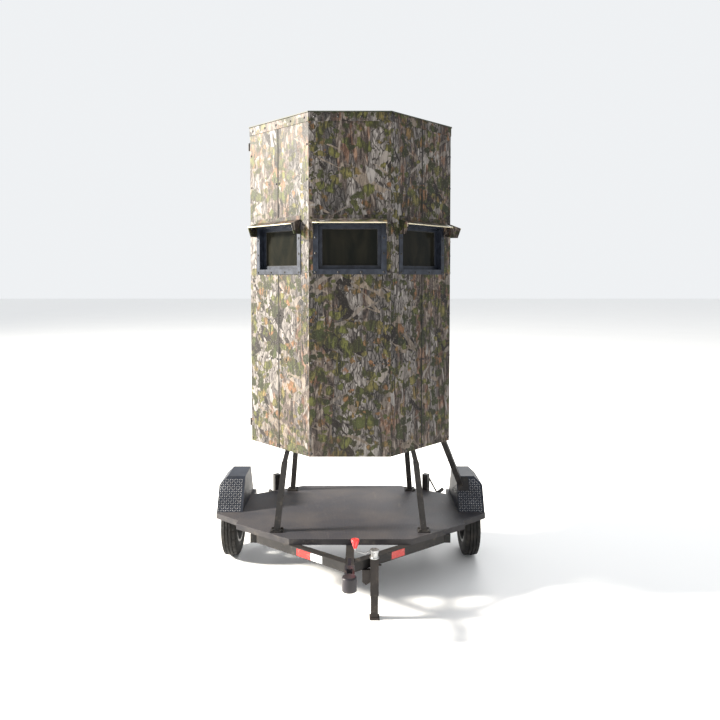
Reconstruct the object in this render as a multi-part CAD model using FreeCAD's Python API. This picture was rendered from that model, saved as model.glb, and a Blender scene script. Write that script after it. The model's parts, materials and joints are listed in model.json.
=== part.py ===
"""Elevated octagonal hunting blind on a small tow-behind trailer.

Millimetres, +Z up, +Y towards the rear, the coupler points to -Y. The model is laid out
about the middle of the deck and moved at export, so that the origin is the centre of the
bounding box, on the ground.
"""
import FreeCAD, Part
import math
import os

V = FreeCAD.Vector

# ---- driving dimensions ----
BLIND_FLATS = 1340.0          # octagon, across the front, rear and side faces
FACE_WIDTH = 500.0            # width of the front, rear and side faces
WALL_BASE = 940.0             # bottom edge of the wall panels above the ground
WALL_TOP = 3040.0
SKIN = 4.0                    # wall panel thickness
DECK_TOP = 390.0
DECK_PLATE = 4.0
RIM_HEIGHT = 34.0
RAIL_TOP = 352.0              # top of the tongue and side rails
RAIL_HEIGHT = 55.0
AXLE_Y = 140.0
TYRE_RADIUS = 255.0
TYRE_HALF_WIDTH = 57.5
WHEEL_X = 867.5
RIM_RADIUS = 152.0
SPINDLE_RADIUS = 12.5
FENDER_INNER_X = 762.0
FENDER_OUTER_X = 945.0
FENDER_TOP = 610.0
FENDER_FRONT = -105.0
FENDER_REAR = 385.0
FENDER_RUN = 120.0            # how far the front and rear slopes lean over the wheel
COUPLER_Y = -1046.0           # centre of the ball socket
CUP_RADIUS = 42.0
HOOD_DEPTH = 78.0
HOOD_NOSE = BLIND_FLATS / 2 + HOOD_DEPTH
SHIFT_Y = (-(COUPLER_Y - CUP_RADIUS) - HOOD_NOSE) / 2
RUNNING = 0.05                # radial clearance of a shaft in its hole
GAP = 0.3                     # clearance between bodies that move past each other

# window, in the frame of its face: u to the right, y inwards, z up
WINDOW_HALF = 224.0
WINDOW_LOW = 2063.0
WINDOW_HIGH = 2395.0
FLANGE = 32.0
SLEEVE_DEPTH = 40.0
LIP = 22.0

# door, in the frame of the left face
DOOR_HALF = 212.0
DOOR_LOW = 1018.0
DOOR_HIGH = 2962.0
DOOR_HINGES = (2920.0, 1060.0)
DOOR_PIVOT = (215.0, -9.3)

# jacks
TONGUE_JACK = (148.0, -799.0)
REAR_JACK = (570.0, 375.6)    # point of the deck rim that the right rear jack is bolted to
REAR_JACK_TURN = -29.71       # its outward direction, turned from +Y
CRANK_Z = 484.0
CRANK_Y = 66.0
REAR_TUBE_TOP = 504.0

FACES = {"front": 0, "front_right": 45, "right": 90, "rear_right": 135,
         "rear": 180, "rear_left": 225, "left": 270, "front_left": 315}
WINDOW_FACES = [name for name in FACES if name != "left"]

STEPS_WRITTEN = []


# ---- helpers ----
def export(node, solids):
    """Write one node, moved to the row frame."""
    whole = solids if isinstance(solids, Part.Shape) else Part.makeCompound(solids)
    moved = whole.copy()
    moved.translate(V(0, SHIFT_Y, 0))
    moved.exportStep("parts/" + node + ".step")
    STEPS_WRITTEN.append(node)


def box(x0, x1, y0, y1, z0, z1):
    return Part.makeBox(x1 - x0, y1 - y0, z1 - z0, V(x0, y0, z0))


def prism(points, direction):
    """Extrude a closed polygon of 3-D points."""
    corners = [V(*p) for p in points]
    return Part.Face(Part.makePolygon(corners + [corners[0]])).extrude(V(*direction))


def plan_prism(points, low, high):
    return prism([(x, y, low) for x, y in points], (0, 0, high - low))


def rod(start, end, radius):
    line = V(*end) - V(*start)
    return Part.makeCylinder(radius, line.Length, V(*start), line)


def bent_rod(points, radius):
    """Round rod through the points, with ball corners."""
    body = rod(points[0], points[1], radius)
    for start, end in zip(points[1:], points[2:]):
        body = body.fuse(Part.makeSphere(radius, V(*start)))
        body = body.fuse(rod(start, end, radius))
    return body.removeSplitter()


def hollow_box(x0, x1, y0, y1, z0, z1, wall, along):
    """Rectangular tube, open at both ends along one axis."""
    inner = [x0 + wall, x1 - wall, y0 + wall, y1 - wall, z0 + wall, z1 - wall]
    first = "xyz".index(along) * 2
    inner[first] = (x0, y0, z0)["xyz".index(along)] - 1
    inner[first + 1] = (x1, y1, z1)["xyz".index(along)] + 1
    return box(x0, x1, y0, y1, z0, z1).cut(box(*inner))


def slanted_tube(start, end, size, wall, roll, overrun=0.0):
    """Square tube between two points, longer by overrun at both ends."""
    line = V(*end) - V(*start)
    length = line.Length + 2 * overrun
    half = size / 2
    tube = hollow_box(-half, half, -half, half, -overrun, length - overrun, wall, "z")
    turn = FreeCAD.Rotation(V(0, 0, 1), line).multiply(FreeCAD.Rotation(V(0, 0, 1), roll))
    tube.Placement = FreeCAD.Placement(V(*start), turn)
    return tube


def slab(low, high):
    """A very wide slab between two heights, for trimming."""
    return box(-2000, 2000, -2000, 2000, low, high)


def hexagon(x, y, z, across, height):
    radius = across / math.sqrt(3)
    points = [(x + radius * math.cos(math.radians(60 * k)), y + radius * math.sin(math.radians(60 * k)))
              for k in range(6)]
    return plan_prism(points, z, z + height)


def mirrored(shape):
    return shape.mirror(V(0, 0, 0), V(1, 0, 0))


def octagon(inset):
    """Corners of the blind's plan, moved inwards, starting left of the front face."""
    far = BLIND_FLATS / 2 - inset
    near = math.sqrt(2) * (diagonal_distance() - inset) - far
    return [(-near, -far), (near, -far), (far, -near), (far, near),
            (near, far), (-near, far), (-far, near), (-far, -near)]


def diagonal_distance():
    return (BLIND_FLATS + FACE_WIDTH) / 2 / math.sqrt(2)


def face_half(name):
    """Half the width of one face of the octagon."""
    if FACES[name] % 90 == 0:
        return FACE_WIDTH / 2
    return (BLIND_FLATS - FACE_WIDTH) / 2 / math.sqrt(2)


def on_face(shape, name):
    """Move a shape from the face's own frame to its place on the octagon."""
    distance = BLIND_FLATS / 2 if FACES[name] % 90 == 0 else diagonal_distance()
    placed = shape.copy()
    placed.translate(V(0, -distance, 0))
    placed.rotate(V(0, 0, 0), V(0, 0, 1), FACES[name])
    return placed


def ring_bars(outer, inner, low, high):
    """Mitred bars between two similar polygons."""
    count = len(outer)
    bars = []
    for k in range(count):
        nxt = (k + 1) % count
        bars.append(plan_prism([outer[k], outer[nxt], inner[nxt], inner[k]], low, high))
    return bars


# ---- trailer deck and frame ----
# right half of the outline: the middle deck and the wing around the fender
DECK_CORNERS = [(387, -580), (769, -320), (769, -265), (945, -125),
                (945, 400), (740, 400), (740, 278.5), (387, 480)]
WING_X = 769.5                # where the wing joins the middle deck


def deck_outline(inset):
    """The whole deck outline moved inwards by a small distance."""
    points = DECK_CORNERS + [(-x, y) for x, y in reversed(DECK_CORNERS)]
    moved = []
    count = len(points)
    for k in range(count):
        before = V(*points[k - 1], 0)
        here = V(*points[k], 0)
        after = V(*points[(k + 1) % count], 0)
        first = (here - before).normalize()
        second = (after - here).normalize()
        bisector = V(-first.y, first.x, 0) + V(-second.y, second.x, 0)
        bisector.normalize()
        reach = inset / (bisector.x * -first.y + bisector.y * first.x)
        moved.append((here.x + bisector.x * reach, here.y + bisector.y * reach))
    return moved


def make_deck():
    low = DECK_TOP - DECK_PLATE
    side = [(387, -580), (769, -320), (769, 262), (387, 480)]
    middle = side + [(-x, y) for x, y in reversed(side)]
    solids = [plan_prism(middle, low, DECK_TOP)]
    front = [(WING_X, -264), (945, -125), (945, -106), (WING_X, -106)]
    rear = [(WING_X, 386), (945, 386), (945, 400), (WING_X, 400)]
    inner = [(740.2, 279), (769.2, 262.4), (769.2, 400), (740.2, 400)]
    outer = [(937, -105.5), (945, -105.5), (945, 385.5), (937, 385.5)]
    for wing in (front, rear, inner, outer):
        strip = plan_prism(wing, low, DECK_TOP)
        solids += [strip, mirrored(strip)]
    export("deck_plate", solids)
    export("deck_rim", ring_bars(deck_outline(0), deck_outline(4), RAIL_TOP, low))


def make_frame():
    low = DECK_TOP - DECK_PLATE
    members = []
    for y, half in ((-445, 547), (-150, 764), (AXLE_Y, 764), (378, 515)):
        members.append(hollow_box(-half, half, y - 20, y + 20, RAIL_TOP, low, 3, "x"))
    for x0, x1 in ((620, 660), (-660, -620)):
        members.append(hollow_box(x0, x1, -410, 350, RAIL_TOP - RAIL_HEIGHT, RAIL_TOP, 4, "y"))
    export("deck_frame", members)


# the tongue rails run from the coupler tube to the side rails
RAIL_START = V(25, -815, 0)
RAIL_END = V(620, -381, 0)
RAIL_WIDTH = 50.0


def on_rail(shape):
    """Move a shape from the right rail's outer face frame: x along it, -y outwards."""
    direction = (RAIL_END - RAIL_START).normalize()
    outward = V(direction.y, -direction.x, 0)
    corner = RAIL_START + outward * (RAIL_WIDTH / 2)
    placed = shape.copy()
    placed.rotate(V(0, 0, 0), V(0, 0, 1), math.degrees(math.atan2(direction.y, direction.x)))
    placed.translate(corner)
    return placed


def make_tongue():
    low = RAIL_TOP - RAIL_HEIGHT
    rail = on_rail(hollow_box(-80, 820, 0, RAIL_WIDTH, low, RAIL_TOP, 4, "x"))
    rail = rail.common(box(25.3, 619.7, -1200, 0, 0, 500))
    export("tongue_rails", [rail, mirrored(rail)])
    export("tongue_tube", hollow_box(-25, 25, -1000, -420, RAIL_TOP - 50, RAIL_TOP, 4, "y"))
    red = on_rail(box(270, 375, -0.8, 0, low + 5, RAIL_TOP - 5))
    left_red = mirrored(on_rail(box(250, 365, -0.8, 0, low + 5, RAIL_TOP - 5)))
    white = mirrored(on_rail(box(160, 249.5, -0.8, 0, low + 5, RAIL_TOP - 5)))
    lamp = box(285, 375, 480.1, 494, RAIL_TOP + 3, RAIL_TOP + 31)
    export("red_reflectors", [red, left_red, lamp, mirrored(lamp)])
    export("white_reflectors", white)


def make_coupler():
    cup_low = 288.0
    cup_high = 368.0
    cup = Part.makeCylinder(CUP_RADIUS, cup_high - cup_low, V(0, COUPLER_Y, cup_low))
    top_edges = [edge for edge in cup.Edges if edge.BoundBox.ZMin > cup_high - 0.1]
    cup = cup.makeFillet(9, top_edges)
    sleeve = box(-29.5, 29.5, -1012, -874, 298, 356).cut(box(-25.3, 25.3, -1000.3, -800, 301.7, 352.3))
    body = cup.fuse(sleeve)
    ears = box(-16, 16, -990, -960, 356, 386).cut(box(-9.3, 9.3, -1000, -950, 356, 400))
    body = body.fuse(ears)
    ball = Part.makeCylinder(25.65, 34, V(0, COUPLER_Y, cup_low)).fuse(
        Part.makeSphere(25.65, V(0, COUPLER_Y, cup_low + 34)))
    body = body.cut(ball).fuse(rod((-18, -975, 373), (18, -975, 373), 4)).removeSplitter()
    export("coupler_body", body)
    lever = prism([(-9, -984, 366), (-9, -984, 380), (-9, -930, 378), (-9, -884, 400), (-9, -880, 392),
                   (-9, -928, 368)], (18, 0, 0))
    lever = lever.cut(rod((-20, -975, 373), (20, -975, 373), 4 + RUNNING))
    export("coupler_latch", lever)


def make_fender():
    """Sheet-metal box over the right wheel, open underneath."""
    def block(inset):
        x0, x1 = FENDER_INNER_X + inset, FENDER_OUTER_X - inset
        top = FENDER_TOP - inset
        chamfer = 55
        front, rear = FENDER_FRONT + inset, FENDER_REAR - inset
        across = prism([(x0, -200, DECK_TOP), (x0, -200, top), (x1 - chamfer, -200, top),
                        (x1, -200, top - chamfer), (x1, -200, DECK_TOP)], (0, 700, 0))
        side = prism([(700, front, DECK_TOP), (700, front + FENDER_RUN, top), (700, rear - FENDER_RUN, top),
                      (700, rear, DECK_TOP)], (300, 0, 0))
        return across.common(side)
    shell = block(0).cut(block(3))
    export("fender_right", shell)
    export("fender_left", mirrored(shell))


# ---- running gear ----
def make_axle():
    beam = hollow_box(-735, 735, AXLE_Y - 20, AXLE_Y + 20, TYRE_RADIUS - 20, TYRE_RADIUS + 20, 4, "x")
    spindles = []
    for side in (1, -1):
        shoulder = rod((735 * side, AXLE_Y, TYRE_RADIUS), (800 * side, AXLE_Y, TYRE_RADIUS), 20)
        spindle = rod((800 * side, AXLE_Y, TYRE_RADIUS), (896 * side, AXLE_Y, TYRE_RADIUS), SPINDLE_RADIUS)
        spindles.append(shoulder.fuse(spindle).removeSplitter())
    export("axle_beam", [beam] + spindles)


def leaf(level):
    """One spring leaf under the axle; level 0 is the longest and highest."""
    half = (180.0, 135.0, 90.0)[level]
    top = TYRE_RADIUS - 20 - GAP - 6.3 * level
    rise = 13 * (half / 180) ** 2
    thick = 6.0
    upper = Part.Arc(V(0, -half, top + rise), V(0, 0, top), V(0, half, top + rise)).toShape()
    under = top + rise - thick
    lower = Part.Arc(V(0, half, under), V(0, 0, top - thick), V(0, -half, under)).toShape()
    ends = [Part.makeLine(V(0, half, top + rise), V(0, half, under)),
            Part.makeLine(V(0, -half, under), V(0, -half, top + rise))]
    strip = Part.Face(Part.Wire([upper, ends[0], lower, ends[1]])).extrude(V(45, 0, 0))
    strip.translate(V(-22.5, 0, 0))
    return strip


def make_springs():
    spring_x = 640.0
    eye_y, eye_z = 186.0, 252.0
    main = leaf(0)
    for y in (-eye_y, eye_y):
        main = main.fuse(rod((-22.5, y, eye_z), (22.5, y, eye_z), 13))
    for y in (-eye_y, eye_y):
        main = main.cut(rod((-30, y, eye_z), (30, y, eye_z), 6 + RUNNING))
    leaves = [main, leaf(1), leaf(2)]
    hardware = []
    for y in (-eye_y, eye_y):
        for x0 in (-28, 23):
            hardware.append(box(x0, x0 + 5, y - 20, y + 20, 232, RAIL_TOP - RAIL_HEIGHT).cut(
                rod((-40, y, eye_z), (40, y, eye_z), 6 + RUNNING)))
        bolt = rod((-34, y, eye_z), (34, y, eye_z), 6)
        hardware.append(bolt)
    plate_top = TYRE_RADIUS - 20 - GAP - 2 * 6.3 - 6
    plate = box(-38, 38, -38, 38, plate_top - 8, plate_top)
    for x in (-29, 29):
        top = TYRE_RADIUS + 20 + 5
        end = plate_top - 16
        hardware.append(bent_rod([(x, -26, end), (x, -26, top), (x, 26, top), (x, 26, end)], 5))
        for y in (-26, 26):
            plate = plate.cut(rod((x, y, 100), (x, y, 300), 5.2))
    hardware.append(plate)
    placed_leaves = []
    placed_hardware = []
    for shapes, placed in ((leaves, placed_leaves), (hardware, placed_hardware)):
        for shape in shapes:
            moved = shape.copy()
            moved.translate(V(spring_x, AXLE_Y, 0))
            placed += [moved, mirrored(moved)]
    export("leaf_springs", placed_leaves)
    export("spring_hardware", placed_hardware)


def revolved(points, smooth):
    """Turn a closed (x, radius) outline about the X axis; smooth names runs drawn as splines."""
    edges = []
    for kind, run in points:
        corners = [V(x, 0, r) for x, r in run]
        if kind == smooth:
            curve = Part.BSplineCurve()
            curve.interpolate(corners)
            edges.append(curve.toShape())
        else:
            edges += [Part.makeLine(a, b) for a, b in zip(corners, corners[1:])]
    return Part.Face(Part.Wire(edges)).revolve(V(0, 0, 0), V(1, 0, 0), 360)


def make_wheel(side, name):
    bead = RIM_RADIUS + GAP
    w = TYRE_HALF_WIDTH
    half = [(-43, bead), (-w + 4, 175), (-w, 205), (-w + 3, 232), (-w + 12, 246), (-25, 253.5)]
    outer = half + [(0, TYRE_RADIUS)] + [(-x, r) for x, r in reversed(half)]
    inside = [(36, bead), (w - 12, 178), (w - 9, 205), (w - 12, 228), (0, 243)]
    inner = inside + [(-x, r) for x, r in reversed(inside[:-1])]
    tyre = revolved([("curve", outer), ("line", [outer[-1], inner[0]]), ("curve", inner),
                     ("line", [inner[-1], outer[0]])], "curve")
    for x in (-22, 0, 22):
        groove = rod((x - 2.5, 0, 0), (x + 2.5, 0, 0), 300)
        tyre = tyre.cut(groove.cut(rod((x - 3, 0, 0), (x + 3, 0, 0), TYRE_RADIUS - 7)))
    for end in (60, -60):
        tyre = tyre.cut(rod((end, 0, 0), (math.copysign(45.5 - GAP, end), 0, 0), 163 + 2 * GAP))
    section = [(-49, 163), (-49, 148), (9, 143), (12, 120), (12, 34), (16, 34), (16, 116), (22, 140),
               (49, 148), (49, 163), (45.5, 163), (45.5, RIM_RADIUS), (-45.5, RIM_RADIUS),
               (-45.5, 163), (-49, 163)]
    rim = revolved([("line", section)], "curve")
    hub = rod((-44, 0, 0), (40, 0, 0), 32).fuse(rod((2, 0, 0), (11.7, 0, 0), 72)).fuse(
        Part.makeSphere(30, V(28, 0, 0)).common(rod((40, 0, 0), (60, 0, 0), 40)))
    hub = hub.cut(rod((-50, 0, 0), (30, 0, 0), SPINDLE_RADIUS + RUNNING)).removeSplitter()
    nuts = []
    for k in range(5):
        angle = math.radians(72 * k + 18)
        y, z = 57.15 * math.sin(angle), 57.15 * math.cos(angle)
        rim = rim.cut(rod((0, y, z), (30, y, z), 7))
        nut = hexagon(0, 0, 0, 19, 15)
        nut.rotate(V(0, 0, 0), V(0, 1, 0), 90)
        nut.translate(V(16.1, y, z))
        nuts.append(nut)
        window = math.radians(72 * k + 54)
        y, z = 92 * math.sin(window), 92 * math.cos(window)
        rim = rim.cut(rod((0, y, z), (30, y, z), 14))
    centre = V(WHEEL_X, AXLE_Y, TYRE_RADIUS)
    placed = []
    for shape in [tyre, rim, hub] + nuts:
        moved = shape.copy()
        moved.translate(centre)
        placed.append(moved if side > 0 else mirrored(moved))
    export("tyre_" + name, placed[0])
    export("wheel_" + name, placed[1:])


# ---- jacks ----
def make_tongue_jack():
    x, y = TONGUE_JACK
    tube = hollow_box(x - 25, x + 25, y - 25, y + 25, 145, 365, 3, "z")
    back = y + 10
    bracket = prism([(74, back, 296.9), (74, back, 226), (96, back, 206), (x - 25.1, back, 222),
                     (x - 25.1, back, 296.9)], (0, -26, 0))
    pin = rod((x + 25.1, y, 322), (x + 42, y, 322), 5)
    export("tongue_jack_tube", [tube, bracket, pin])
    export("tongue_jack_head", Part.makeCylinder(23, 34.7, V(x, y, 365.1)).fuse(
        Part.makeCylinder(28, 6, V(x, y, 365.1))).removeSplitter())
    leg = hollow_box(x - 21.7, x + 21.7, y - 21.7, y + 21.7, 8, 225, 3, "z")
    export("tongue_jack_leg", leg.fuse(box(x - 30, x + 30, y - 30, y + 30, 0, 8)).removeSplitter())
    crown = Part.makeCylinder(27, 15, V(x, y, 401))
    handle = bent_rod([(x - 18, y, 408), (x - 34, y, 402), (x - 56, y, 390), (x - 112, y, 406),
                       (x - 115, y, 416), (x - 115, y, 424)], 5)
    export("tongue_jack_crank", crown.fuse(handle).removeSplitter())
    knob = Part.makeCone(10, 25, 46, V(x - 115, y, 424.1))
    knob = knob.fuse(Part.makeCylinder(25, 8, V(x - 115, y, 470.1)))
    rounded = [e for e in knob.Edges if e.BoundBox.ZMin > 478]
    export("tongue_jack_knob", knob.makeFillet(5, rounded))


def place_rear(shape, side):
    """Move a shape from the rear jack's own frame to the right or left rear of the deck."""
    placed = shape.copy()
    placed.rotate(V(0, 0, 0), V(0, 0, 1), REAR_JACK_TURN)
    placed.translate(V(REAR_JACK[0], REAR_JACK[1], 0))
    return placed if side > 0 else mirrored(placed)


def make_rear_jacks():
    tube = hollow_box(-22, 22, 6, 50, 150, REAR_TUBE_TOP, 3, "z")
    cap = box(-23, 23, 5, 51, REAR_TUBE_TOP, REAR_TUBE_TOP + 4)
    plate = box(-38, 38, 0.1, 5.9, 330, RAIL_TOP + 33)
    leg = hollow_box(-18.7, 18.7, 9.3, 46.7, 8, 335, 3, "z")
    leg = leg.fuse(box(-45, 45, -17, 73, 0, 8)).removeSplitter()
    fixed = []
    for side, name, arm_x, arm_z in ((1, "right", 80, 125), (-1, "left", 0, 148)):
        fixed += [place_rear(shape, side) for shape in (tube, cap, plate)]
        export("rear_jack_leg_" + name, place_rear(leg, side))
        shaft = rod((0, 50 + GAP, CRANK_Z), (0, CRANK_Y, CRANK_Z), 8)
        end = (arm_x, CRANK_Y, CRANK_Z - arm_z)
        arm = bent_rod([(0, CRANK_Y - 8, CRANK_Z), (0, CRANK_Y, CRANK_Z), end,
                        (arm_x, CRANK_Y + 14, end[2])], 6)
        grip = rod((arm_x, CRANK_Y + 14.1, end[2]), (arm_x, CRANK_Y + 104, end[2]), 14)
        crank = shaft.fuse(arm).removeSplitter()
        export("rear_crank_" + name, [place_rear(crank, side), place_rear(grip, side)])
    export("rear_jack_tubes", fixed)


# ---- stand between the deck and the blind ----
LEG_BASE = {-1: (480.0, 445.0), 1: (455.0, 378.0)}    # front and rear feet on the deck
LEG_KINK = {-1: (430.0, 414.0), 1: (422.0, 395.0)}
LEG_HEAD = (405.0, 400.0)
KINK_Z = 835.0


def make_stand():
    plates, legs, brackets, bolts = [], [], [], []
    plate_top = DECK_TOP + 8
    for sx in (1, -1):
        for sy in (1, -1):
            base = (LEG_BASE[sy][0] * sx, LEG_BASE[sy][1] * sy, plate_top)
            kink = (LEG_KINK[sy][0] * sx, LEG_KINK[sy][1] * sy, KINK_Z)
            head = (LEG_HEAD[0] * sx, LEG_HEAD[1] * sy, WALL_BASE - 6)
            plates.append(box(base[0] - 40, base[0] + 40, base[1] - 35, base[1] + 35, DECK_TOP, plate_top))
            leg = slanted_tube(base, kink, 38, 3, 0, 20)
            legs.append(leg.common(slab(plate_top, KINK_Z)))
            stub = slanted_tube(kink, head, 31, 3, 0, 20)
            brackets.append(stub.common(slab(KINK_Z, WALL_BASE - 6)))
            x, y = head[:2]
            brackets.append(box(x - 50, x + 50, y - 50, y + 50, WALL_BASE - 6, WALL_BASE))
            for bx in (-30, 30):
                for by in (-25, 25):
                    bolts.append(hexagon(base[0] + bx, base[1] + by, plate_top, 14, 7))
    export("leg_base_plates", plates)
    export("stand_legs", legs)
    brackets += make_brace()
    export("leg_brackets", brackets)
    export("deck_bolts", bolts)


def make_brace():
    """Single brace from the blind's floor frame to the front of the right fender."""
    head = (636, -130, WALL_BASE - 6)
    foot = (783, -11, 573)
    slope = V(0, FENDER_RUN, FENDER_TOP - DECK_TOP).normalize()
    outward = V(0, -slope.z, slope.y)

    def on_slope(height, offset):
        along = (height - DECK_TOP) / slope.z
        point = V(0, FENDER_FRONT, DECK_TOP) + slope * along + outward * offset
        return (0, point.y, point.z)

    section = [on_slope(520, 0.1), on_slope(604, 0.1), on_slope(604, 6), on_slope(520, 6)]
    foot_plate = prism(section, (76, 0, 0))
    foot_plate.translate(V(768, 0, 0))
    behind = prism([on_slope(400, 6.1), on_slope(900, 6.1), (0, 600, 900), (0, 600, 400)], (400, 0, 0))
    behind.translate(V(600, 0, 0))
    tube = slanted_tube(head, foot, 36, 3, 0, 40).cut(behind).common(slab(400, WALL_BASE - 6))
    export("side_brace", tube)
    x, y = head[:2]
    return [foot_plate, box(x - 26, x + 28, y - 35, y + 35, WALL_BASE - 6, WALL_BASE)]


# ---- blind ----
FRAME_INSET = SKIN + GAP
FLOOR_FRAME_TOP = WALL_BASE + 50
FLOOR_TOP = FLOOR_FRAME_TOP + 18
POST_LEG = 30.0
GIRT = 25.0
GIRT_LEVELS = (1519.0, 2047.0, 2415.0, 3003.0)


def make_floor():
    bars = ring_bars(octagon(FRAME_INSET), octagon(FRAME_INSET + 40), WALL_BASE, FLOOR_FRAME_TOP)
    inner = plan_prism(octagon(FRAME_INSET + 3), WALL_BASE + 3, FLOOR_FRAME_TOP - 3)
    core = plan_prism(octagon(FRAME_INSET + 37), WALL_BASE + 3, FLOOR_FRAME_TOP - 3)
    cavity = inner.cut(core)
    members = [bar.cut(cavity) for bar in bars]
    for x in (-405, 405):
        members.append(hollow_box(x - 20, x + 20, -428, 428, WALL_BASE, FLOOR_FRAME_TOP, 3, "y"))
    for y in (-200, 200):
        members.append(hollow_box(-384.7, 384.7, y - 20, y + 20, WALL_BASE, FLOOR_FRAME_TOP, 3, "x"))
    export("floor_frame", members)
    export("floor_panel", plan_prism(octagon(FRAME_INSET), FLOOR_FRAME_TOP, FLOOR_TOP))


def make_wall_frame():
    members = []
    outer, inner = octagon(SKIN), octagon(SKIN + 3)
    for k in range(8):
        here, deep = V(*outer[k], 0), V(*inner[k], 0)
        to_next = (V(*outer[(k + 1) % 8], 0) - here).normalize() * POST_LEG
        to_last = (V(*outer[k - 1], 0) - here).normalize() * POST_LEG
        corners = [here + to_last, here, here + to_next, deep + to_next, deep, deep + to_last]
        members.append(plan_prism([(c.x, c.y) for c in corners], FLOOR_TOP + GAP, WALL_TOP - GAP))
    for name in FACES:
        half = face_half(name) - 34
        levels = GIRT_LEVELS if name in WINDOW_FACES else GIRT_LEVELS[-1:]
        for z in levels:
            girt = hollow_box(-half, half, SKIN, SKIN + GIRT, z - GIRT / 2, z + GIRT / 2, 2, "x")
            members.append(on_face(girt, name))
        if FACES[name] % 90:
            foot, waist, sill, lintel = FLOOR_TOP + GAP, *GIRT_LEVELS[:3]
            half_girt = GIRT / 2
            spans = ((foot, waist - half_girt), (waist + half_girt, sill - half_girt),
                     (lintel + half_girt, GIRT_LEVELS[3] - half_girt))
            for low, high in spans:
                stud = hollow_box(-GIRT / 2, GIRT / 2, SKIN, SKIN + GIRT, low, high, 2, "z")
                members.append(on_face(stud, name))
    export("wall_frame", members)


def make_walls():
    outer, inner = octagon(0), octagon(SKIN)
    window = box(-198, 198, -20, 60, WINDOW_LOW + 26, WINDOW_HIGH - 26)
    doorway = box(-DOOR_HALF - 3, DOOR_HALF + 3, -20, 60, DOOR_LOW - 3, DOOR_HIGH + 3)
    seam = box(-1.5, 1.5, -20, 60, WALL_BASE - 10, WALL_TOP + 10)
    for k, name in enumerate(FACES):
        nxt = (k + 1) % 8
        skin = plan_prism([outer[k], outer[nxt], inner[nxt], inner[k]], WALL_BASE, WALL_TOP)
        skin = skin.cut(on_face(window if name in WINDOW_FACES else doorway, name))
        if FACES[name] % 90:
            skin = skin.cut(on_face(seam, name))
        export("wall_" + name, skin)


def make_roof():
    export("roof_fascia", ring_bars(octagon(-3), octagon(0), WALL_TOP - 54, WALL_TOP))

    def ring_wire(inset, share, z):
        corners = [V(x * share, y * share, z) for x, y in octagon(inset)]
        return Part.makePolygon(corners + [corners[0]])

    edge = plan_prism(octagon(-8), WALL_TOP, WALL_TOP + 6)
    cone = Part.makeLoft([ring_wire(-8, 1, WALL_TOP + 6), ring_wire(-8, 0.1, WALL_TOP + 76)], True, True)
    hollow = Part.makeLoft([ring_wire(30, 1, WALL_TOP - 1), ring_wire(30, 0.1, WALL_TOP + 66)], True, True)
    export("roof_panel", edge.fuse(cone).cut(hollow).removeSplitter())


# ---- windows ----
def mitred_frame():
    """Extruded window frame in four mitred bars, in the face frame."""
    half, low, high = WINDOW_HALF, WINDOW_LOW, WINDOW_HIGH

    def block(inset, y0, y1):
        return box(-half + inset, half - inset, y0, y1, low + inset, high - inset)

    flange = block(0, -5, 0).cut(block(FLANGE, -6, 1))
    sleeve = block(FLANGE - 4, 0, SLEEVE_DEPTH).cut(block(FLANGE, -1, SLEEVE_DEPTH + 1))
    lip = block(FLANGE, SLEEVE_DEPTH - 8, SLEEVE_DEPTH).cut(block(FLANGE + LIP, 0, SLEEVE_DEPTH + 1))
    ring = flange.fuse(sleeve).fuse(lip)
    depth = FLANGE + LIP + 1
    corners = [(-half, low), (half, low), (half, high), (-half, high)]
    inner = [(-half + depth, low + depth), (half - depth, low + depth),
             (half - depth, high - depth), (-half + depth, high - depth)]
    bars = []
    for k in range(4):
        nxt = (k + 1) % 4
        sector = [corners[k], corners[nxt], inner[nxt], inner[k]]
        bars.append(ring.common(prism([(u, -10, z) for u, z in sector], (0, SLEEVE_DEPTH + 20, 0))))
    return bars


def hood():
    """Sheet awning above a window, with a cheek plate at each end."""
    low = WINDOW_HIGH + 3
    drop = 28.5
    top = prism([(-WINDOW_HALF, 0, low), (-WINDOW_HALF, 0, low + 26), (-WINDOW_HALF, -3, low + 26),
                 (-WINDOW_HALF, -3, low + 3.5), (-WINDOW_HALF, -HOOD_DEPTH, low - drop + 4),
                 (-WINDOW_HALF, -HOOD_DEPTH, low - drop)], (2 * WINDOW_HALF, 0, 0))
    solids = [top]
    for u in (-WINDOW_HALF, WINDOW_HALF - 4):
        cheek_low = WINDOW_HIGH - 85
        solids.append(prism([(u, -5.1, low - 2.2), (u, -HOOD_DEPTH + 2, low - drop + 0.4),
                             (u, -55, cheek_low), (u, -5.1, cheek_low)], (4, 0, 0)))
    return solids


PANE_HALF = 194.0
PANE_LOW = 2092.0
PANE_HIGH = 2366.0
PANE_BACK = SLEEVE_DEPTH + 0.4
PIVOT_Y = SLEEVE_DEPTH + 10.4
PIVOT_Z = 2088.0


def make_windows():
    frames, hoods = [], []
    pane = box(-PANE_HALF, PANE_HALF, PANE_BACK, PANE_BACK + 5, PANE_LOW, PANE_HIGH)
    for name in WINDOW_FACES:
        frames += [on_face(bar, name) for bar in mitred_frame()]
        for u in (-130, 130):
            frames.append(on_face(rod((u - 25, PIVOT_Y, PIVOT_Z), (u + 25, PIVOT_Y, PIVOT_Z), 3.5), name))
        hoods += [on_face(solid, name) for solid in hood()]
        export("pane_" + name, on_face(pane, name))
    export("window_frames", frames)
    export("window_hoods", hoods)


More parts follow.
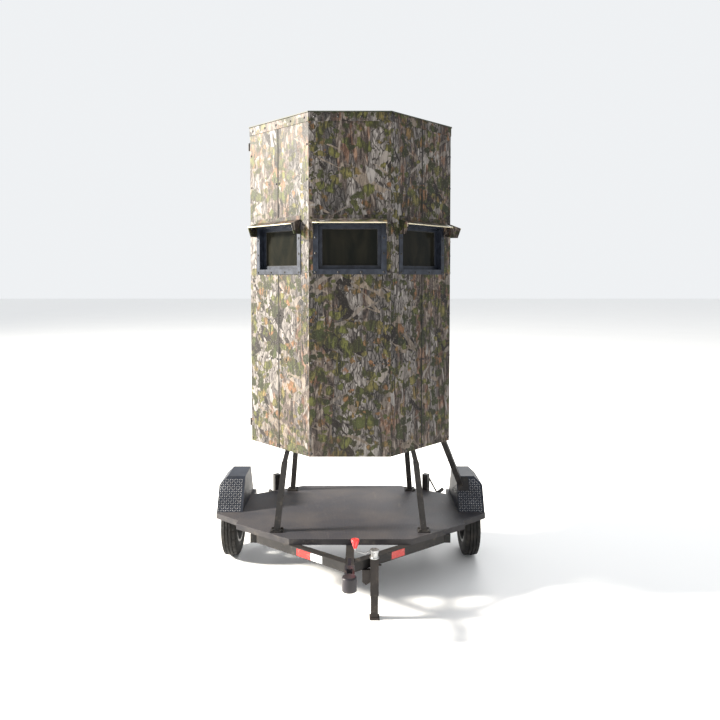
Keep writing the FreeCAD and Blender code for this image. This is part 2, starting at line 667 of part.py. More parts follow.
# ---- door in the left face ----
def make_door():
    skin = box(-DOOR_HALF, DOOR_HALF, 0, SKIN, DOOR_LOW, DOOR_HIGH)
    export("door_panel", on_face(skin, "left"))
    inner, outer = DOOR_HALF - GIRT, DOOR_HALF
    y0, y1 = SKIN, SKIN + GIRT
    frame = [hollow_box(-outer, -inner, y0, y1, DOOR_LOW, DOOR_HIGH, 2, "z"),
             hollow_box(inner, outer, y0, y1, DOOR_LOW, DOOR_HIGH, 2, "z")]
    for z in (DOOR_LOW, 1519 - GIRT / 2, DOOR_HIGH - GIRT):
        frame.append(hollow_box(-inner, inner, y0, y1, z, z + GIRT, 2, "x"))
    pivot_u, pivot_y = DOOR_PIVOT
    fixed = []
    for z in DOOR_HINGES:
        strap = box(150, pivot_u, -3, 0, z - 9, z + 9)
        knuckle = rod((pivot_u, pivot_y, z - 9), (pivot_u, pivot_y, z + 9), 8)
        link = box(pivot_u - 8, pivot_u - 3.2, pivot_y, -3, z - 9, z + 9)
        strap = strap.cut(box(DOOR_HALF, 300, -10, 10, z - 20, z + 20))
        leaf_body = strap.fuse(link.common(box(150, DOOR_HALF, -20, 0, z - 9, z + 9))).fuse(knuckle)
        frame.append(leaf_body.cut(rod((pivot_u, pivot_y, z - 12), (pivot_u, pivot_y, z + 12), 3 + RUNNING)))
        root = rod((pivot_u, pivot_y, z - 26), (pivot_u, pivot_y, z + 26), 3)
        for low in (z - 25, z + 10):
            root = root.fuse(rod((pivot_u, pivot_y, low), (pivot_u, pivot_y, low + 15), 8))
            root = root.fuse(box(pivot_u + 0.5, 245, -3, 0, low, low + 15))
            root = root.fuse(box(pivot_u + 3, pivot_u + 8, pivot_y, -1, low, low + 15))
        fixed.append(root)
    rose_u, rose_z = -180.0, 1950.0
    frame.append(rod((rose_u, -6, rose_z), (rose_u, 0, rose_z), 26))
    export("door_frame", [on_face(solid, "left") for solid in frame])
    export("door_hinges", [on_face(solid, "left") for solid in fixed])
    lever = rod((rose_u, -6 - GAP, rose_z), (rose_u, -26, rose_z), 10)
    lever = lever.fuse(box(rose_u, rose_u + 105, -26, -15, rose_z - 10, rose_z + 10))
    export("door_handle", on_face(lever.removeSplitter(), "left"))


def make_screws():
    """Round heads that hold the wall panels, fascia and window frames."""
    heads = []

    def head(name, u, z, surface):
        heads.append(on_face(rod((u, surface - 3, z), (u, surface, z), 6), name))

    for name in FACES:
        half = face_half(name)
        edge = half - 15
        columns = (-0.85, -0.28, 0.28, 0.85) if FACES[name] % 90 == 0 else (-0.88, -0.44, -0.05, 0.44, 0.88)
        for share in columns:
            head(name, share * half, WALL_TOP - 28, -3)
        rows = (WALL_BASE + 20, 1519, 1800, 2640, 2850) if name in WINDOW_FACES else (WALL_BASE + 20, 1519)
        for z in rows:
            head(name, -edge + (0 if name in WINDOW_FACES else -1), z, 0)
            head(name, edge, z, 0)
        if FACES[name] % 90:
            for z in (WALL_BASE + 20, 1519, 1800, 2640):
                head(name, -16, z, 0)
                head(name, 16, z, 0)
            for share in (-0.5, 0.5):
                head(name, share * half, WALL_BASE + 20, 0)
        if name in WINDOW_FACES:
            for share in (-0.6, -0.25, 0.25, 0.6):
                head(name, share * half, 1519, 0)
        if name in WINDOW_FACES:
            for u in (-208, -70, 70, 208):
                head(name, u, WINDOW_LOW + 12, -5)
            for u in (-208, 208):
                head(name, u, 2190, -5)
                head(name, u, 2285, -5)
    export("wall_screws", heads)


os.makedirs("parts", exist_ok=True)
make_deck()
make_frame()
make_tongue()
make_coupler()
make_fender()
make_axle()
make_springs()
make_wheel(1, "right")
make_wheel(-1, "left")
make_tongue_jack()
make_rear_jacks()
make_stand()
make_floor()
make_wall_frame()
make_walls()
make_roof()
make_windows()
make_door()
make_screws()
print(len(STEPS_WRITTEN), "nodes, origin moved by", SHIFT_Y)
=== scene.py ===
"""Looks of the octagonal blind on its trailer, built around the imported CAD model."""

import json
import math

import bmesh
import bpy
from mathutils import Matrix, Vector


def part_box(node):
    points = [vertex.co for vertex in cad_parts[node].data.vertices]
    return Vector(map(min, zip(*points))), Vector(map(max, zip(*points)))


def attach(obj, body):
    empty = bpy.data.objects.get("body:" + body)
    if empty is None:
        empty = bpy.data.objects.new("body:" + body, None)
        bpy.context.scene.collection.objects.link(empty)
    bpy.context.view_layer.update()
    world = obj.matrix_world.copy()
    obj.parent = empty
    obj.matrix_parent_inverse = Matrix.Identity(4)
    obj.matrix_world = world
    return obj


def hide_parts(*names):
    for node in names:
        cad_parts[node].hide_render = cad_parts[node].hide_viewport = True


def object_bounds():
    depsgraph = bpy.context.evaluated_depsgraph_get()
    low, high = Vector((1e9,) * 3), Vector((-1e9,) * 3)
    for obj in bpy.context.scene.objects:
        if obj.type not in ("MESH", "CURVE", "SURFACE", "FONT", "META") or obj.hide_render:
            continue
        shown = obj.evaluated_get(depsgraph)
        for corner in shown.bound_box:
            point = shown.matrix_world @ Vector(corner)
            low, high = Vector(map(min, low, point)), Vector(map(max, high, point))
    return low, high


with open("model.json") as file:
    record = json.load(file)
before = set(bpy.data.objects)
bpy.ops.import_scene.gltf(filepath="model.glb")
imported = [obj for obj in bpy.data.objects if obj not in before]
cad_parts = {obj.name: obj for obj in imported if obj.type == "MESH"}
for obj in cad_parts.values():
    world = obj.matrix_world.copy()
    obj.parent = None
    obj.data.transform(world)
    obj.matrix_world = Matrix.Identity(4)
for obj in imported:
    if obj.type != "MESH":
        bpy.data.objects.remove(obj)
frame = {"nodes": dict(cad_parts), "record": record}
CAD_LOW, CAD_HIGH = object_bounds()
NODES = frame["nodes"]
SLOT_OF = {row["node"]: row["material_slot"] for row in frame["record"]["subparts"]}

FACE_NAMES = ["front", "front_right", "right", "rear_right", "rear", "rear_left", "left", "front_left"]
WINDOW_FACES = [name for name in FACE_NAMES if name != "left"]
SIDES = {"left": -1, "right": 1}


# ---- places taken from the frame ----
def middle(node):
    low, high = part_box(node)
    return (low + high) / 2


def face_matrix(name):
    """Frame of one wall: x to its right, y inwards from its outer skin, z up from the ground."""
    turn = Matrix.Rotation(math.radians(45 * FACE_NAMES.index(name)), 4, "Z")
    centre = middle("floor_panel")
    centre.z = 0
    outward = turn @ Vector((0, -1, 0))
    reach = max((vertex.co - centre).dot(outward) for vertex in NODES["wall_" + name].data.vertices)
    return Matrix.Translation(centre + outward * reach) @ turn


FACE = {name: face_matrix(name) for name in FACE_NAMES}


def local_box(node, matrix):
    """Lowest and highest corner of a node in another frame."""
    back = matrix.inverted()
    points = [back @ vertex.co for vertex in NODES[node].data.vertices]
    low = Vector(min(point[axis] for point in points) for axis in range(3))
    high = Vector(max(point[axis] for point in points) for axis in range(3))
    return low, high


def islands(node):
    """Corner points of each separate solid in a node."""
    mesh = NODES[node].data
    group = {}

    def find(key):
        while group[key] != key:
            group[key] = group[group[key]]
            key = group[key]
        return key

    keys = [tuple(round(value, 5) for value in vertex.co) for vertex in mesh.vertices]
    for key in keys:
        group[key] = key
    for edge in mesh.edges:
        first, second = (find(keys[index]) for index in edge.vertices)
        group[first] = second
    found = {}
    for key in sorted(group):
        found.setdefault(find(key), []).append(Vector(key))
    return list(found.values())


# ---- mesh building ----
def place(name, build, material, slot, body="trailer", smooth=True):
    """Make a piece from a function that fills a bmesh."""
    sketch = bmesh.new()
    build(sketch)
    bmesh.ops.recalc_face_normals(sketch, faces=sketch.faces)
    mesh = bpy.data.meshes.new(name)
    sketch.to_mesh(mesh)
    sketch.free()
    mesh.polygons.foreach_set("use_smooth", [smooth] * len(mesh.polygons))
    mesh.materials.append(material)
    piece = bpy.data.objects.new(name, mesh)
    bpy.context.scene.collection.objects.link(piece)
    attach(piece, body)
    return piece


def sharpen(piece, degrees=35):
    """Keep the corners of a smooth piece crisp."""
    limit = math.radians(degrees)
    sketch = bmesh.new()
    sketch.from_mesh(piece.data)
    for edge in sketch.edges:
        if len(edge.link_faces) == 2:
            edge.smooth = edge.calc_face_angle(0) < limit
    sketch.to_mesh(piece.data)
    sketch.free()


def turned(sketch, profile, matrix, segments=16):
    """Solid of revolution about the matrix's z axis from (radius, height) points, both ends closed."""
    rings = []
    for radius, height in profile:
        ring = []
        for step in range(segments):
            angle = 2 * math.pi * step / segments
            point = Vector((radius * math.cos(angle), radius * math.sin(angle), height))
            ring.append(sketch.verts.new(matrix @ point))
        rings.append(ring)
    for below, above in zip(rings, rings[1:]):
        for step in range(segments):
            after = (step + 1) % segments
            sketch.faces.new((below[step], below[after], above[after], above[step]))
    sketch.faces.new(reversed(rings[0]))
    sketch.faces.new(rings[-1])


def tube(sketch, path, radius, closed=False, segments=8):
    """Round bar through a list of points; radius is a number or a function of the point's index."""
    count = len(path)
    rings = []
    side = None
    for index, point in enumerate(path):
        before = path[index - 1] if closed or index else point
        after = path[(index + 1) % count] if closed or index < count - 1 else point
        along = (after - before).normalized()
        if side is None:
            side = along.orthogonal().normalized()
        side = (side - along * side.dot(along)).normalized()
        other = along.cross(side)
        size = radius(index) if callable(radius) else radius
        ring = []
        for step in range(segments):
            angle = 2 * math.pi * step / segments
            ring.append(sketch.verts.new(point + (side * math.cos(angle) + other * math.sin(angle)) * size))
        rings.append(ring)
    pairs = list(zip(rings, rings[1:]))
    if closed:
        pairs.append((rings[-1], rings[0]))
    for here, there in pairs:
        for step in range(segments):
            after = (step + 1) % segments
            sketch.faces.new((here[step], here[after], there[after], there[step]))
    if not closed:
        sketch.faces.new(reversed(rings[0]))
        sketch.faces.new(rings[-1])


def divided(corners, spacing, closed=False):
    """Points along straight runs between the corners, a fixed distance apart."""
    points = []
    runs = list(zip(corners, corners[1:]))
    if closed:
        runs.append((corners[-1], corners[0]))
    for start, end in runs:
        steps = max(2, round((end - start).length / spacing))
        points += [start.lerp(end, step / steps) for step in range(steps)]
    if not closed:
        points.append(corners[-1])
    return points


BEAD_RADIUS = 0.0035
BEAD_STEP = 0.0025


def weld(sketch, corners, closed=False):
    """Weld bead: a bar whose ripples follow each other along the joint."""
    path = divided(corners, BEAD_STEP, closed)
    tube(sketch, path, lambda index: BEAD_RADIUS * (0.82 + 0.18 * math.cos(index * 2.1)), closed, 6)


def block(sketch, low, high, matrix, bevel=0.0):
    """Box with rounded edges between two corners of a local frame."""
    made = bmesh.ops.create_cube(sketch, size=1)
    size = Vector(high) - Vector(low)
    centre = (Vector(high) + Vector(low)) / 2
    for vertex in made["verts"]:
        vertex.co = Vector(a * b for a, b in zip(vertex.co, size)) + centre
    if bevel:
        edges = {edge for vertex in made["verts"] for edge in vertex.link_edges}
        result = bmesh.ops.bevel(sketch, geom=list(edges), offset=bevel, segments=2, affect="EDGES",
                                 profile=0.6)
        moved = {vertex for face in result["faces"] for vertex in face.verts}
        moved |= {vertex for vertex in made["verts"] if vertex.is_valid}
    else:
        moved = set(made["verts"])
    for vertex in moved:
        vertex.co = matrix @ vertex.co


# ---- materials ----
class Shader:
    """A material written as nested calls on its node tree."""

    def __init__(self, name, **surface):
        self.material = bpy.data.materials.new(name)
        self.material.use_nodes = True
        self.tree = self.material.node_tree
        self.surface = self.tree.nodes["Principled BSDF"]
        for socket, value in surface.items():
            self.surface.inputs[socket.replace("_", " ")].default_value = value
        self.here = self.node("ShaderNodeTexCoord").outputs["Object"]

    def node(self, kind, inputs=None, **settings):
        made = self.tree.nodes.new(kind)
        for name, value in settings.items():
            setattr(made, name, value)
        for socket, value in (inputs or {}).items():
            if isinstance(value, bpy.types.NodeSocket):
                self.tree.links.new(value, made.inputs[socket])
            else:
                made.inputs[socket].default_value = value
        return made

    def moved(self, place, scale=(1, 1, 1), turn=(0, 0, 0), shift=(0, 0, 0)):
        turn = [math.radians(angle) for angle in turn]
        made = self.node("ShaderNodeMapping", {"Vector": place, "Location": shift, "Rotation": turn,
                                               "Scale": scale})
        return made.outputs[0]

    def noise(self, scale, place=None, detail=4.0, rough=0.55, twist=0.0):
        made = self.node("ShaderNodeTexNoise", {"Vector": place or self.here, "Scale": scale,
                                                "Detail": detail, "Roughness": rough, "Distortion": twist})
        return made.outputs[0]

    def colour_noise(self, scale, place=None, detail=2.0):
        made = self.node("ShaderNodeTexNoise", {"Vector": place or self.here, "Scale": scale,
                                                "Detail": detail})
        return made.outputs["Color"]

    def cells(self, scale, place=None, feature="F1"):
        return self.node("ShaderNodeTexVoronoi", {"Vector": place or self.here, "Scale": scale},
                         feature=feature)

    def wave(self, scale, place=None, twist=0.0, axis="X"):
        made = self.node("ShaderNodeTexWave", {"Vector": place or self.here, "Scale": scale,
                                               "Distortion": twist}, bands_direction=axis)
        return made.outputs["Fac"]

    def maths(self, kind, first, second=0.0):
        return self.node("ShaderNodeMath", {0: first, 1: second}, operation=kind).outputs[0]

    def step(self, value, low, high):
        """0 below low, 1 above high, and smooth between."""
        made = self.node("ShaderNodeMapRange", {"Value": value, "From Min": low, "From Max": high},
                         interpolation_type="SMOOTHSTEP")
        return made.outputs[0]

    def between(self, value, low, high):
        made = self.node("ShaderNodeMapRange", {"Value": value, "To Min": low, "To Max": high})
        return made.outputs[0]

    def ramp(self, value, *stops):
        made = self.node("ShaderNodeValToRGB", {"Fac": value})
        points = made.color_ramp.elements
        while len(points) < len(stops):
            points.new(0.5)
        for point, (position, colour) in zip(points, stops):
            point.position = position
            point.color = (*colour, 1)
        return made.outputs[0]

    def mix(self, share, first, second, kind="MIX"):
        first, second = ((*value, 1) if isinstance(value, tuple) else value for value in (first, second))
        made = self.node("ShaderNodeMix", {0: share, 6: first, 7: second}, data_type="RGBA",
                         blend_type=kind)
        return made.outputs[2]

    def axis(self, place, name):
        return self.node("ShaderNodeSeparateXYZ", {0: place}).outputs[name]

    def bump(self, height, distance, strength=1.0, below=None):
        inputs = {"Height": height, "Distance": distance, "Strength": strength}
        if below:
            inputs["Normal"] = below
        return self.node("ShaderNodeBump", inputs).outputs[0]

    def finish(self, colour, roughness, normal):
        for socket, value in (("Base Color", colour), ("Roughness", roughness), ("Normal", normal)):
            self.tree.links.new(value, self.surface.inputs[socket])
        return self.material


def bark(shader, place):
    """Backdrop of the print: narrow dark and tan streaks running up the sheet."""
    streaks = shader.noise(1.0, shader.moved(place, (40, 40, 9)), 7, 0.66, 0.9)
    hue = shader.noise(1.0, shader.moved(place, (15, 15, 6), shift=(4, 0, 9)), 4)
    dark = shader.ramp(streaks, (0.36, (0.012, 0.010, 0.010)), (0.47, (0.075, 0.056, 0.050)),
                       (0.55, (0.17, 0.135, 0.115)), (0.64, (0.40, 0.345, 0.30)))
    rusty = shader.ramp(streaks, (0.38, (0.022, 0.013, 0.010)), (0.50, (0.15, 0.082, 0.056)),
                        (0.63, (0.40, 0.25, 0.175)))
    return shader.mix(shader.step(hue, 0.52, 0.60), dark, rusty), streaks


def trunks(shader, place, shift, width, colours):
    """Pale upright trunks with broken bark: returns their colour and where they are."""
    wander = shader.moved(place, (5.2, 5.2, 0.75), shift=shift)
    row = shader.noise(1.0, wander, 2, 0.4)
    where = shader.step(row, 0.60 - width, 0.615 - width)
    grain = shader.noise(1.0, shader.moved(place, (75, 75, 16)), 5, 0.68, 0.8)
    plates = shader.cells(1.0, shader.moved(place, (46, 46, 13)), "DISTANCE_TO_EDGE").outputs["Distance"]
    colour = shader.ramp(grain, (0.32, colours[0]), (0.48, colours[1]), (0.62, colours[2]))
    cracks = shader.step(plates, 0.015, 0.09)
    colour = shader.mix(cracks, colours[0], colour)
    edge = shader.step(row, 0.66 - width, 0.615 - width)
    return shader.mix(shader.maths("MULTIPLY", edge, 0.55), colour, colours[0]), where


def twigs(shader, place, lean, shift, width):
    """Thin crossing branches: level lines of a stretched noise, broken into lengths."""
    leaned = shader.moved(shader.moved(place, turn=(0, lean, 0)), (5.2, 5.2, 1.2), shift=shift)
    line = shader.maths("ABSOLUTE", shader.maths("SUBTRACT", shader.noise(1.0, leaned, 3.0, 0.45), 0.5))
    gaps = shader.noise(4.2, shader.moved(place, shift=shift), 1)
    taper = shader.maths("MULTIPLY", shader.step(gaps, 0.50, 0.66), width)
    edge = shader.maths("SUBTRACT", taper, line)
    return shader.step(edge, 0.0, width * 0.18)


def leaves(shader, place, scale, shift, share):
    """Ragged leaves: chosen cells with lobed outlines, their random colour value and their veins."""
    ragged = shader.colour_noise(scale * 1.5, place, 2.5)
    offset = shader.node("ShaderNodeVectorMath", {0: ragged, 1: (0.5, 0.5, 0.5)}, operation="SUBTRACT")
    reach = shader.node("ShaderNodeVectorMath", {0: offset.outputs[0], "Scale": 1.15 / scale},
                        operation="SCALE")
    bent = shader.node("ShaderNodeVectorMath", {0: shader.moved(place, shift=shift), 1: reach.outputs[0]},
                       operation="ADD").outputs[0]
    cell = shader.cells(scale, bent)
    pick = shader.axis(cell.outputs["Color"], "X")
    clump = shader.noise(3.4, shader.moved(place, shift=shift), 2)
    chosen = shader.step(shader.maths("ADD", shader.maths("MULTIPLY", pick, 0.45), clump),
                         0.92 - share, 0.94 - share)
    inside = shader.step(cell.outputs["Distance"], 0.56, 0.48)
    tint = shader.axis(cell.outputs["Color"], "Y")
    return shader.maths("MULTIPLY", inside, chosen), tint, cell.outputs["Distance"]


def camo(name, turn, seed, tone=0.50):
    """Woodland print on a sheet that faces one way round the blind."""
    shader = Shader(name, Specular_IOR_Level=0.22)
    place = shader.moved(shader.here, turn=(0, 0, -turn), shift=(seed * 3.7, seed * 1.3, seed * 0.61))
    colour, streaks = bark(shader, place)

    grey = ((0.045, 0.038, 0.036), (0.20, 0.178, 0.168), (0.50, 0.465, 0.44))
    dusk = ((0.020, 0.018, 0.018), (0.10, 0.090, 0.086), (0.30, 0.275, 0.265))
    for shift, width, colours in (((3, 0, 1), 0.060, dusk), ((0, 0, 0), 0.048, grey)):
        trunk, where = trunks(shader, place, shift, width, colours)
        colour = shader.mix(where, colour, trunk)

    for lean, shift, width, tint in ((38, (2, 0, 5), 0.050, (0.030, 0.023, 0.021)),
                                     (-35, (7, 0, 3), 0.030, (0.38, 0.34, 0.31)),
                                     (60, (1, 0, 8), 0.020, (0.33, 0.27, 0.22)),
                                     (12, (5, 0, 2), 0.024, (0.44, 0.41, 0.39)),
                                     (-58, (3, 0, 6), 0.020, (0.29, 0.25, 0.22))):
        shaded = shader.mix(shader.step(streaks, 0.40, 0.60), tuple(value * 0.45 for value in tint), tint)
        colour = shader.mix(twigs(shader, place, lean, shift, width), colour, shaded)

    for scale, shift, share in ((17.0, (0, 0, 0), 0.13), (25.0, (9, 0, 4), 0.11), (13.0, (4, 0, 7), 0.12)):
        where, tint, distance = leaves(shader, place, scale, shift, share)
        green = shader.ramp(tint, (0.0, (0.030, 0.040, 0.018)), (0.30, (0.075, 0.090, 0.030)),
                            (0.55, (0.175, 0.185, 0.050)), (0.78, (0.25, 0.215, 0.075)),
                            (0.92, (0.33, 0.165, 0.085)))
        mottled = shader.mix(shader.step(streaks, 0.60, 0.42), green, (0.030, 0.030, 0.016))
        rim = shader.step(distance, 0.28, 0.46)
        leaf = shader.mix(shader.maths("MULTIPLY", rim, 0.45), mottled, (0.05, 0.045, 0.02))
        colour = shader.mix(where, colour, leaf)

    speck = shader.noise(150, place, 2)
    colour = shader.mix(shader.maths("MULTIPLY", shader.step(speck, 0.60, 0.72), 0.30), colour,
                        (0.66, 0.62, 0.56))
    low = shader.step(shader.axis(shader.here, "Z"), CAD_HIGH.z * 0.38, CAD_HIGH.z * 0.30)
    dust = shader.maths("MULTIPLY", low, shader.between(shader.noise(6), 0.0, 0.12))
    colour = shader.mix(dust, colour, (0.30, 0.25, 0.19))
    colour = shader.mix(1.0, colour, (tone, tone, tone), "MULTIPLY")

    rough = shader.between(shader.noise(9, detail=5), 0.45, 0.68)
    sheet = shader.bump(shader.noise(2.2, detail=1), 0.004, 0.35)
    return shader.finish(colour, rough, shader.bump(speck, 0.0004, 0.25, sheet))


def enamel(name, dark, light, rough=(0.42, 0.66), dust=0.16, **surface):
    """Sprayed paint on steel: orange peel, drifting tone, dust and small chips."""
    shader = Shader(name, Specular_IOR_Level=0.25, **surface)
    drift = shader.noise(7, detail=5)
    colour = shader.mix(shader.step(drift, 0.35, 0.68), dark, light)
    dusty = shader.step(shader.noise(18, detail=6, rough=0.7), 0.52, 0.72)
    colour = shader.mix(shader.maths("MULTIPLY", dusty, dust), colour, (0.24, 0.20, 0.155))
    chips = shader.step(shader.noise(95, detail=3, rough=0.6), 0.70, 0.73)
    colour = shader.mix(shader.maths("MULTIPLY", chips, 0.5), colour, (0.20, 0.19, 0.185))
    peel = shader.bump(shader.noise(420, detail=2), 0.0003, 0.35)
    normal = shader.bump(shader.noise(14, detail=3), 0.0015, 0.2, peel)
    return shader.finish(colour, shader.between(drift, *rough), normal)


def tread_steel():
    """Charcoal deck with a fine crossed tread grain, scuffed paler in streaky patches."""
    shader = Shader("deck_enamel", Specular_IOR_Level=0.2)
    crossed = shader.moved(shader.here, turn=(0, 0, 45))
    rows = shader.maths("MULTIPLY", shader.wave(24, crossed, 0.15), shader.wave(24, crossed, 0.15, "Y"))
    drift = shader.noise(3.1, detail=6, rough=0.6)
    colour = shader.mix(shader.step(drift, 0.36, 0.66), (0.026, 0.026, 0.032), (0.050, 0.046, 0.048))
    colour = shader.mix(shader.maths("MULTIPLY", shader.step(rows, 0.45, 0.7), 0.32), colour,
                        (0.105, 0.098, 0.098))
    scuff = shader.step(shader.noise(1.0, shader.moved(shader.here, (30, 6, 6)), 6, 0.7), 0.58, 0.72)
    colour = shader.mix(shader.maths("MULTIPLY", scuff, 0.28), colour, (0.13, 0.115, 0.10))
    normal = shader.bump(rows, 0.0012, 0.6, shader.bump(shader.noise(300), 0.0003, 0.4))
    return shader.finish(colour, shader.between(drift, 0.42, 0.66), normal)


def metal(name, dark, light, rough, **surface):
    """Plated or anodised metal with a drawn grain and cloudy patches."""
    shader = Shader(name, **surface)
    cloud = shader.noise(24, detail=5)
    colour = shader.mix(shader.step(cloud, 0.36, 0.64), dark, light)
    grain = shader.noise(1.0, shader.moved(shader.here, (300, 300, 18)), 3)
    colour = shader.mix(shader.maths("MULTIPLY", grain, 0.25), colour, dark)
    return shader.finish(colour, shader.between(cloud, *rough), shader.bump(grain, 0.0002, 0.3))


def zinc():
    """Galvanised steel with its spangle and dull stains."""
    shader = Shader("zinc", Metallic=0.85)
    spangle = shader.axis(shader.cells(160).outputs["Color"], "X")
    stain = shader.step(shader.noise(30, detail=6), 0.45, 0.7)
    colour = shader.ramp(spangle, (0.0, (0.30, 0.31, 0.32)), (1.0, (0.50, 0.51, 0.52)))
    colour = shader.mix(shader.maths("MULTIPLY", stain, 0.5), colour, (0.30, 0.27, 0.23))
    normal = shader.bump(shader.noise(220), 0.0003, 0.4)
    return shader.finish(colour, shader.between(spangle, 0.26, 0.46), normal)


def rubber(name, dark, dust, grain=500.0):
    """Matt rubber with a fine grain and dust in cloudy patches."""
    shader = Shader(name, Specular_IOR_Level=0.3)
    cloud = shader.noise(16, detail=6, rough=0.65)
    colour = shader.mix(shader.maths("MULTIPLY", shader.step(cloud, 0.44, 0.68), 0.6), dark, dust)
    normal = shader.bump(shader.noise(grain), 0.0003, 0.5)
    return shader.finish(colour, shader.between(cloud, 0.62, 0.86), normal)


def moulded(name, dark, light, rough=(0.18, 0.34), **surface):
    """Moulded plastic: slight flow marks and handling scratches."""
    shader = Shader(name, **surface)
    flow = shader.noise(20, detail=3, twist=1.2)
    colour = shader.mix(shader.step(flow, 0.3, 0.7), dark, light)
    scratch = shader.step(shader.noise(1.0, shader.moved(shader.here, (40, 700, 90)), 2), 0.66, 0.72)
    colour = shader.mix(shader.maths("MULTIPLY", scratch, 0.2), colour, (0.6, 0.5, 0.45))
    return shader.finish(colour, shader.between(flow, *rough), shader.bump(flow, 0.0006, 0.15))


def tape(name, dark, light):
    """Prismatic reflective tape: a close honeycomb under a clear film."""
    shader = Shader(name, Coat_Weight=0.25, Coat_Roughness=0.12)
    comb = shader.cells(420, feature="DISTANCE_TO_EDGE").outputs["Distance"]
    colour = shader.mix(shader.step(comb, 0.02, 0.12), dark, light)
    grime = shader.step(shader.noise(26, detail=6), 0.50, 0.72)
    colour = shader.mix(shader.maths("MULTIPLY", grime, 0.3), colour, (0.25, 0.2, 0.17))
    return shader.finish(colour, shader.between(grime, 0.22, 0.5), shader.bump(comb, 0.0002, 0.3))


def smoked():
    """Smoked acrylic pane, nearly black from outside, with faint smears."""
    shader = Shader("smoked_acrylic", IOR=1.49, Specular_IOR_Level=0.07)
    smear = shader.noise(1.0, shader.moved(shader.here, (9, 9, 3)), 5, 0.6, 1.5)
    colour = shader.ramp(smear, (0.35, (0.006, 0.007, 0.006)), (0.7, (0.016, 0.015, 0.011)))
    return shader.finish(colour, shader.between(smear, 0.06, 0.17), shader.bump(smear, 0.0008, 0.1))


def plywood():
    """Sealed plywood with its grain running across the floor."""
    shader = Shader("floor_ply", Specular_IOR_Level=0.35)
    grain = shader.noise(1.0, shader.moved(shader.here, (60, 4, 60)), 6, 0.6, 1.0)
    colour = shader.ramp(grain, (0.32, (0.30, 0.18, 0.085)), (0.55, (0.50, 0.34, 0.18)),
                         (0.7, (0.58, 0.42, 0.25)))
    return shader.finish(colour, shader.between(grain, 0.5, 0.75), shader.bump(grain, 0.0006, 0.5))


SLOT_MATERIALS = {
    "black_steel": enamel("black_enamel", (0.012, 0.0115, 0.012), (0.026, 0.024, 0.023)),
    "deck_steel": tread_steel(),
    "frame_aluminium": metal("blue_black_anodised", (0.010, 0.013, 0.021), (0.024, 0.030, 0.044),
                             (0.34, 0.48), Metallic=0.15, Specular_IOR_Level=0.35),
    "galvanised": zinc(),
    "screw_black": enamel("screw_black", (0.012, 0.012, 0.013), (0.03, 0.028, 0.028), (0.3, 0.5)),
    "tread_rubber": rubber("tyre_rubber", (0.009, 0.009, 0.009), (0.042, 0.037, 0.031)),
    "wheel_steel": enamel("wheel_grey", (0.10, 0.10, 0.10), (0.17, 0.17, 0.165), (0.30, 0.48),
                          Metallic=0.3),
    "red_reflector": tape("red_tape", (0.22, 0.006, 0.004), (0.50, 0.010, 0.006)),
    "white_reflector": tape("white_tape", (0.48, 0.55, 0.58), (0.86, 0.90, 0.92)),
    "red_grip": moulded("red_knob", (0.60, 0.008, 0.012), (0.80, 0.022, 0.025), Coat_Weight=0.6,
                        Coat_Roughness=0.08),
    "black_grip": rubber("grip_rubber", (0.012, 0.012, 0.012), (0.05, 0.046, 0.04), 900),
    "tinted_pane": smoked(),
    "plywood": plywood(),
    "roof_sheet": enamel("roof_paint", (0.030, 0.034, 0.026), (0.062, 0.064, 0.050)),
    "camo_sheet": camo("camo_hood", 0, 9, 0.45),
}
FACE_CAMO = {name: camo("camo_" + name, 45 * index, index + 1) for index, name in enumerate(FACE_NAMES)}
# The near-black is the fender paint's own colour; its navy tint is painted shade colour copied from the
# shaded fenders.
FENDER = enamel("fender_enamel", (0.010, 0.0125, 0.020), (0.020, 0.024, 0.035), (0.38, 0.56), dust=0.06)
# Pale lozenge paint: partly wear on the raised tread, partly a painted highlight standing in for sunlit
# sparkle on the front slopes.
TREAD_WEAR_AND_HIGHLIGHT = enamel("tread_wear_and_painted_highlight", (0.20, 0.205, 0.215), (0.42, 0.42, 0.43), (0.26, 0.42), Metallic=0.5)
# Cream paint on the hood edges is a painted highlight standing in for their sunlit edges.
HOOD_EDGE_HIGHLIGHT = enamel("hood_edge", (0.62, 0.56, 0.40), (0.80, 0.74, 0.56), (0.4, 0.6))
RIM_PAINT = enamel("rim_enamel", (0.022, 0.021, 0.024), (0.042, 0.039, 0.040))
COUPLER = enamel("coupler_enamel", (0.013, 0.012, 0.016), (0.026, 0.023, 0.029), (0.24, 0.38), dust=0.08,
                 Coat_Weight=0.15, Coat_Roughness=0.15)
JACK_BROWN = enamel("jack_enamel", (0.016, 0.013, 0.012), (0.032, 0.026, 0.024))

NODE_MATERIALS = {"wall_" + name: material for name, material in FACE_CAMO.items()}
NODE_MATERIALS.update({
    "door_panel": FACE_CAMO["left"],
    "fender_left": FENDER,
    "fender_right": FENDER,
    "tongue_jack_tube": JACK_BROWN,
    "tongue_jack_leg": JACK_BROWN,
    "deck_rim": RIM_PAINT,
    "deck_bolts": SLOT_MATERIALS["black_steel"],
    "coupler_body": COUPLER,
    "coupler_latch": COUPLER,
})

for node, cad in NODES.items():
    material = NODE_MATERIALS.get(node) or SLOT_MATERIALS[SLOT_OF[node]]
    cad.data.materials.clear()
    cad.data.materials.append(material)


# ---- detail pieces ----
SCREW_HEAD = [(0.0076, 0.0), (0.0076, 0.0007), (0.0058, 0.0009), (0.0053, 0.0024), (0.0038, 0.0033),
              (0.0024, 0.0035), (0.0019, 0.0018), (0.0004, 0.0018)]


